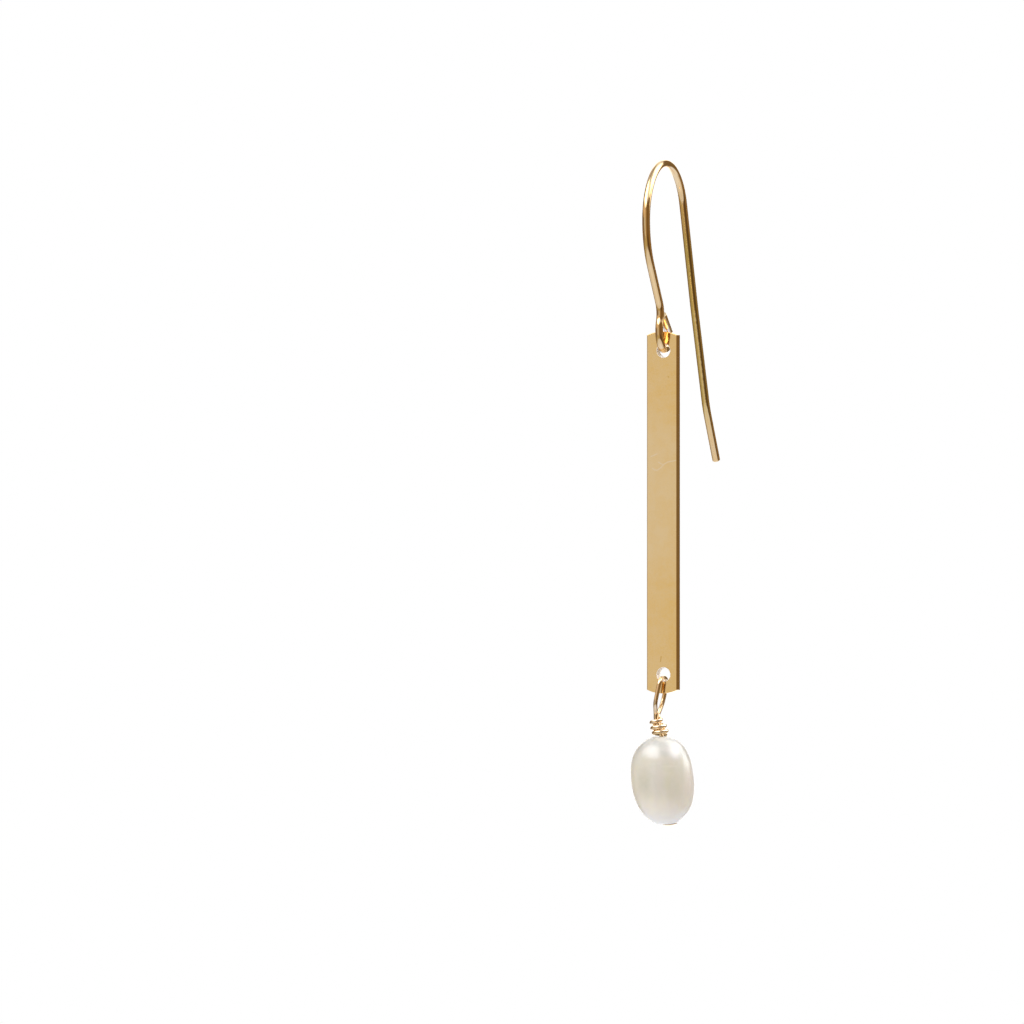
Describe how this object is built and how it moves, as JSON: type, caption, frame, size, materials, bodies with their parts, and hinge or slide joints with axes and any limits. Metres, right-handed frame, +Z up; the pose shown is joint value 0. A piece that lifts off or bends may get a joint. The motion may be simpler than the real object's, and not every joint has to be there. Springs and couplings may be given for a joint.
{
  "type": "bar earring with a pearl drop",
  "caption": "Drop earring: a fishhook ear wire, a slim flat gold bar hung from its loop, and a pearl on a wire-wrapped head pin below.",
  "frame": {"origin": "underside of the hook's arch at its top, where the earring hangs in the ear", "axes": "+Z up, the bar's front face looks towards -Y, the hook's tail runs towards +Y, the hook lies in the YZ plane"},
  "size_m": [0.0062, 0.0213, 0.0645],
  "materials": {
    "gold_wire": "polished gold plate",
    "gold_bar": "polished gold plate with fine wear scratches",
    "pearl": "soft nacre lustre with growth wrinkles"
  },
  "bodies": {
    "hook": {"ear_hook": "gold_wire"},
    "hanging_bar": {"bar": "gold_bar"},
    "drop": {"head_pin": "gold_wire", "pearl": "pearl"}
  },
  "joints": [
    {"name": "bar_swing", "type": "hinge", "parent": "hook", "child": "hanging_bar", "pos_m": [0, -0.00018, -0.0176], "axis": [0, 1, 0], "range_deg": [-25, 25]},
    {"name": "pearl_swing", "type": "hinge", "parent": "hanging_bar", "child": "drop", "pos_m": [-0.00004, -0.0003, -0.04934], "axis": [0, 1, 0], "range_deg": [-90, 90]}
  ]
}
